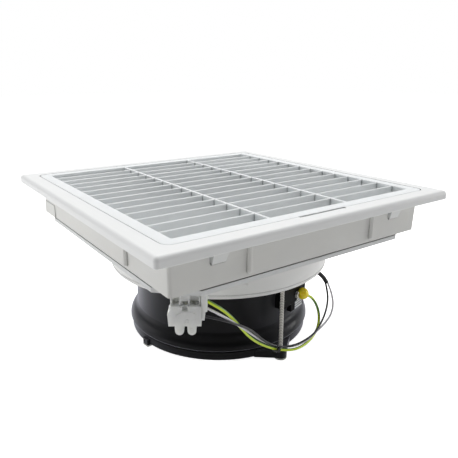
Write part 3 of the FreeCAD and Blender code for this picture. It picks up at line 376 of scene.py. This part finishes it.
def finish_node(name):
    """Material of a CAD node, and fine rounding of its sharp edges."""
    node = NODES[name]
    node.data.materials.clear()
    node.data.materials.append(NODE_LOOKS[name])
    width = EDGES.get(name)
    if width:
        weld = node.modifiers.new("weld", "WELD")
        weld.merge_threshold = 0.004 * MM
        bevel = node.modifiers.new("edge", "BEVEL")
        bevel.width = width
        bevel.segments = 2
        bevel.limit_method = "ANGLE"
        bevel.angle_limit = EDGE_ANGLE
        bevel.use_clamp_overlap = True
        normals = node.modifiers.new("normals", "WEIGHTED_NORMAL")
        normals.keep_sharp = True


for node_name in NODE_LOOKS:
    finish_node(node_name)


# New pieces

def add_piece(name, data, material):
    """New object on the housing, from a mesh or a curve."""
    piece = bpy.data.objects.new(name, data)
    bpy.context.scene.collection.objects.link(piece)
    data.materials.append(material)
    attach(piece, "housing")
    return piece


def cord_piece(name, route, diameter, material):
    """Round cord on a NURBS line with the route's points, in millimetres, as its control points."""
    curve = bpy.data.curves.new(name, "CURVE")
    curve.dimensions = "3D"
    curve.bevel_depth = diameter / 2
    curve.bevel_resolution = 5
    curve.resolution_u = 10
    curve.use_fill_caps = True
    spline = curve.splines.new("NURBS")
    spline.points.add(len(route) - 1)
    for point, place in zip(spline.points, route):
        point.co = (place[0] * MM, place[1] * MM, place[2] * MM, 1.0)
    spline.order_u = 3
    spline.use_endpoint_u = True
    return add_piece(name, curve, material)


EARTH_ROUTE = [
    (-105.6, -134.4, 101), (-94, -138, 92.5), (-80, -135, 78.5), (-66, -129, 62),
    (-49, -122.5, 43), (-31, -118, 28), (-10, -115.5, 15), (8, -117.8, 9.2),
    (23, -116, 7), (37, -112, 6.4), (50.5, -107, 7.8), (60.5, -102.8, 12.4),
    (65.5, -99.2, 20.8), (65.3, -96.6, 30.6), (61, -95, 40), (54, -94.6, 47.5), (45, -95.6, 52.2)]
NEUTRAL_ROUTE = [
    (-105.6, -134.4, 94.5), (-94, -138.5, 86.5), (-79, -137, 74), (-62, -131, 59.5),
    (-45, -122.5, 44), (-29, -116, 30), (-9, -113.6, 16.8), (13, -115.3, 10.2),
    (33, -113.4, 9.4), (49, -110.2, 12.6), (63, -108.4, 16.4), (77, -105.2, 21.6),
    (87.5, -99, 28.5), (91, -93.5, 37), (91, -89, 45.5), (89.3, -86.65, 52)]
LIVE_ROUTE = [
    (-107.9, -133.2, 87.5), (-93, -139.4, 82.3), (-77.5, -139.5, 73.2), (-61, -133.5, 61.5),
    (-46, -125, 48.5), (-30, -118.8, 32.2), (-9, -116.4, 17.3), (13, -117.3, 12.6),
    (33, -115.4, 13), (47.2, -112.6, 15), (61, -106.6, 18.8), (71.8, -101.8, 24.8),
    (81, -96, 30.8), (86.6, -90.8, 37.6), (88.4, -87, 44.2), (87.7, -85.35, 51)]
SLEEVE_ROUTE = [
    (47.2, -86.7, 63.4), (58.5, -83.3, 66.8), (72, -82, 67.8), (83, -84.4, 61), (88.5, -86, 51.5)]


def make_cords():
    """Three wires from the terminal plug, two of them into the black sleeve of the lead."""
    earth = cord_piece("earth_cord", EARTH_ROUTE, 2.8 * MM, EARTH_PVC)
    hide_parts("earth_wire")
    sleeve = cord_piece("sleeve_cord", SLEEVE_ROUTE, 4.6 * MM, SLEEVE)
    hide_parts("lead_sleeve")
    neutral = cord_piece("neutral_cord", NEUTRAL_ROUTE, 2.1 * MM, WHITE_PVC)
    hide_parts("neutral_wire")
    live = cord_piece("live_cord", LIVE_ROUTE, 2.1 * MM, GREY_PVC)
    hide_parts("live_wire")


def on_circle(radius, height, share):
    """Point at a share of a turn around Z, from a radius and a height in millimetres."""
    turn = 2 * math.pi * share
    return (radius * MM * math.cos(turn), radius * MM * math.sin(turn), height * MM)


def ring_of(mesh, radius, height, steps):
    """New vertices in a circle about Z, or one vertex on the axis where the radius is nothing."""
    if radius == 0.0:
        return [mesh.verts.new((0, 0, height * MM))]
    return [mesh.verts.new(on_circle(radius, height, k / steps)) for k in range(steps)]


def lathe_mesh(name, outline, steps, closed=False):
    """Solid of revolution about Z from (radius, height) points, in millimetres."""
    mesh = bmesh.new()
    rings = [ring_of(mesh, radius, height, steps) for radius, height in outline]
    pairs = list(zip(rings, rings[1:]))
    if closed:
        pairs.append((rings[-1], rings[0]))
    for low, high in pairs:
        for k in range(steps):
            after = (k + 1) % steps
            if len(low) == 1:
                mesh.faces.new((low[0], high[after], high[k]))
            elif len(high) == 1:
                mesh.faces.new((low[k], low[after], high[0]))
            else:
                mesh.faces.new((low[k], low[after], high[after], high[k]))
    return to_mesh(name, mesh)


def to_mesh(name, mesh, smooth_angle=35):
    """Mesh data from a bmesh, smooth but for edges sharper than this many degrees."""
    bmesh.ops.recalc_face_normals(mesh, faces=mesh.faces)
    data = bpy.data.meshes.new(name)
    mesh.to_mesh(data)
    mesh.free()
    data.shade_smooth()
    data.set_sharp_from_angle(angle=math.radians(smooth_angle))
    return data


HEAD_RADIUS = 3.8
HEAD_HEIGHT = 2.6
TAPER_RINGS = 12                      # the thread runs out over the last rings of the screw


def long_screw_mesh(length):
    """Pan-head screw along -Z from its seat at the origin, with a real helical thread."""
    steps, ring_height = 28, THREAD_PITCH / 10
    head = [(1.9, 2.5), (3.2, 1.9), (3.75, 1.0), (HEAD_RADIUS, 0.0)]
    mesh = bmesh.new()
    rings = [ring_of(mesh, radius, height, steps) for radius, height in head]
    count = int(length / ring_height)
    for number in range(count + 1):
        height = -number * ring_height
        taper = min(1.0, (count - number) / TAPER_RINGS)
        ring = []
        for k in range(steps):
            phase = (height / THREAD_PITCH - k / steps) % 1.0
            ridge = max(0.0, 1.0 - abs(phase - 0.5) * 2.6)
            flat_topped = min(1.0, ridge * 1.5)
            radius = THREAD_ROOT + (THREAD_CREST - THREAD_ROOT) * flat_topped * taper
            ring.append(mesh.verts.new(on_circle(radius, height, k / steps)))
        rings.append(ring)
    for low, high in zip(rings, rings[1:]):
        for k in range(steps):
            after = (k + 1) % steps
            mesh.faces.new((low[k], low[after], high[after], high[k]))
    mesh.faces.new(rings[0])
    mesh.faces.new(rings[-1])
    return to_mesh("long_screw", mesh, 30)


def make_long_screws():
    """The two threaded screws that hang the tube, one node in the CAD model."""
    low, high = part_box("tube_screws")
    seat = high.z - HEAD_HEIGHT * MM
    mesh = long_screw_mesh((seat - low.z) / MM)
    for name, y in (("long_screw_front", low.y + HEAD_RADIUS * MM),
                    ("long_screw_rear", high.y - HEAD_RADIUS * MM)):
        piece = bpy.data.objects.new(name, mesh)
        bpy.context.scene.collection.objects.link(piece)
        piece.location = (0, y, seat)
        if not mesh.materials:
            mesh.materials.append(THREAD_ZINC)
        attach(piece, "housing")
        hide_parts("tube_screws")


CRIMP_START = Vector((38.0, -96.8, 56.1)) * MM
CRIMP_END = Vector((45.85, -95.4, 51.75)) * MM
DENT_PLACE = 4.4                      # along the crimp's barrel, in millimetres


def make_crimp():
    """Vinyl barrel of the earth terminal, with the dents of the crimping tool."""
    outline = [(0.0, -3.2), (1.2, -3.0), (2.3, -2.2), (4.0, -0.6), (5.5, 1.4), (6.2, 3.4), (6.25, 5.2),
               (5.8, 7.0), (4.9, 8.4), (3.6, 9.2), (2.2, 9.4), (1.75, 8.8), (0.0, 8.6)]
    mesh = lathe_mesh("crimp_barrel", outline, 40)
    for vertex in mesh.vertices:
        along = vertex.co.z / MM
        dent = math.exp(-((along - DENT_PLACE) / 1.5) ** 2)
        vertex.co.x *= 1.0 - 0.13 * dent
        vertex.co.y *= 1.0 + 0.03 * dent
    direction = (CRIMP_END - CRIMP_START).normalized()
    mesh.transform(Matrix.Translation(CRIMP_START) @ direction.to_track_quat("Z", "Y").to_matrix().to_4x4())
    piece = add_piece("crimp_barrel", mesh, VINYL)
    subdivide = piece.modifiers.new("round", "SUBSURF")
    subdivide.levels = subdivide.render_levels = 1
    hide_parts("earth_crimp")


# Where the earth screw sits on the face of the lead cover, in millimetres about the fan's axis
COVER_ANGLE = math.radians(-72.0)
COVER_FACE = 101.0
SCREW_ASIDE = 2.0
SCREW_HEIGHT = 55.0


def make_ring_tongue():
    """Tinned ring under the earth screw."""
    outward = Vector((math.cos(COVER_ANGLE), math.sin(COVER_ANGLE), 0))
    across = Vector((-outward.y, outward.x, 0))
    centre = outward * COVER_FACE * MM + across * SCREW_ASIDE * MM + Vector((0, 0, SCREW_HEIGHT * MM))
    outline = [(1.65, 0.0), (3.45, 0.0), (3.6, 0.15), (3.6, 0.65), (3.45, 0.8), (1.65, 0.8)]
    data = lathe_mesh("ring_tongue", outline, 32, closed=True)
    turn_out = outward.to_track_quat("Z", "Y").to_matrix().to_4x4()
    data.transform(Matrix.Translation(centre) @ turn_out)
    piece = add_piece("ring_tongue", data, TIN)
    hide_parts("earth_crimp")


make_cords()
make_long_screws()
make_crimp()
make_ring_tongue()


# Floor, light and camera

FAN_MIDDLE = Vector((0, 0, 0.10))
BRIGHT_SIDE = (0.38, 0.60, 0.70)      # the studio is lit from above and behind the fan
WORLD_DARK, WORLD_BRIGHT = 0.02, 0.55
FLOOR_SEEN = 0.90                     # how bright the floor shows
FLOOR_FILL, FLOOR_SIDE = 0.20, 0.75   # its own light under and in front of the fan, and on its left
FLOOR_LEFT = (-0.80, 0.60, 0.0)       # towards the side where the floor gives more light
FLOOR_CENTRE = (0.10, 0.15, 0.0)      # the floor is palest around this place


def seen_or_lighting(tree, seen, lighting):
    """Strength of a white surface: one value where it is seen, another for the light it gives."""
    ray = tree.nodes.new("ShaderNodeLightPath").outputs["Is Camera Ray"]
    strength = tree.nodes.new("ShaderNodeMapRange")
    strength.inputs["To Max"].default_value = seen
    if isinstance(lighting, bpy.types.NodeSocket):
        tree.links.new(lighting, strength.inputs["To Min"])
    else:
        strength.inputs["To Min"].default_value = lighting
    tree.links.new(ray, strength.inputs["Value"])
    return strength.outputs["Result"]


def make_floor():
    """White studio floor; its glow keeps the shadow on it faint."""
    mesh = bmesh.new()
    bmesh.ops.create_grid(mesh, x_segments=1, y_segments=1, size=6.0)
    data = bpy.data.meshes.new("floor")
    mesh.to_mesh(data)
    mesh.free()
    floor = bpy.data.objects.new("floor", data)
    bpy.context.scene.collection.objects.link(floor)
    surface = Surface("floor_white", Specular_IOR_Level=0.0)
    surface.shader.inputs["Emission Color"].default_value = (1.0, 1.0, 1.0, 1.0)
    aside = surface.node("VectorMath", Vector=surface.place)
    aside.operation = "DOT_PRODUCT"
    aside.inputs[1].default_value = FLOOR_LEFT
    lit = surface.between(aside.outputs["Value"], FLOOR_FILL, FLOOR_SIDE, 0.08, 0.45)
    glow = seen_or_lighting(surface.tree, FLOOR_SEEN, lit)
    surface.tree.links.new(glow, surface.shader.inputs["Emission Strength"])
    away = surface.node("VectorMath", Vector=surface.place)
    away.operation = "DISTANCE"
    away.inputs[1].default_value = FLOOR_CENTRE
    edge = surface.between(away.outputs["Value"], 0.0, 1.0, 0.30, 0.85)
    surface.colour(surface.blend(edge, (0.90, 0.90, 0.90), (0.38, 0.38, 0.38)))
    surface.shader.inputs["Roughness"].default_value = 0.9
    data.materials.append(surface.material)


def area_light(name, place, size, power):
    """White softbox of this width and height, turned to the middle of the fan."""
    light = bpy.data.lights.new(name, "AREA")
    light.shape = "RECTANGLE"
    light.size, light.size_y = size
    light.energy = power
    lamp = bpy.data.objects.new(name, light)
    lamp.location = place
    lamp.rotation_mode = "QUATERNION"
    lamp.rotation_quaternion = (FAN_MIDDLE - Vector(place)).to_track_quat("-Z", "Y")
    bpy.context.scene.collection.objects.link(lamp)


def make_lights():
    """Softboxes, and a white world that lights the object less than it shows."""
    area_light("top", (0.30, 0.55, 1.5), (1.6, 1.6), 20)
    area_light("left", (-1.8, 1.5, 0.60), (1.5, 1.0), 7)
    area_light("right", (1.5, -0.6, 0.25), (0.5, 0.6), 6)
    world = bpy.data.worlds.new("studio")
    bpy.context.scene.world = world
    world.use_nodes = True
    tree = world.node_tree
    background = tree.nodes["Background"]
    background.inputs["Color"].default_value = (1.0, 1.0, 1.0, 1.0)
    towards = tree.nodes.new("ShaderNodeVectorMath")
    towards.operation = "DOT_PRODUCT"
    towards.inputs[1].default_value = Vector(BRIGHT_SIDE).normalized()
    tree.links.new(tree.nodes.new("ShaderNodeTexCoord").outputs["Generated"], towards.inputs[0])
    softbox = tree.nodes.new("ShaderNodeMapRange")
    softbox.interpolation_type = "SMOOTHSTEP"
    tree.links.new(towards.outputs["Value"], softbox.inputs["Value"])
    for socket, value in (("From Min", -0.45), ("From Max", 0.45), ("To Min", WORLD_DARK),
                          ("To Max", WORLD_BRIGHT)):
        softbox.inputs[socket].default_value = value
    tree.links.new(seen_or_lighting(tree, 1.0, softbox.outputs["Result"]), background.inputs["Strength"])


def make_camera():
    """Camera a little above the face of the grille, in front of its near left corner."""
    camera_data = bpy.data.cameras.new("camera")
    camera_data.sensor_width = 36.0
    camera_data.lens = 39.39
    camera_data.shift_x = 0.0230
    camera_data.shift_y = -0.0624
    camera = bpy.data.objects.new("camera", camera_data)
    camera.location = (-0.31266, -0.44605, 0.2803)
    forward = Vector((0.5563, 0.7936, -0.2466))
    camera.rotation_mode = "QUATERNION"
    camera.rotation_quaternion = forward.to_track_quat("-Z", "Y")
    bpy.context.scene.collection.objects.link(camera)
    bpy.context.scene.camera = camera


make_floor()
make_lights()
make_camera()
bpy.context.scene.view_settings.view_transform = "Standard"
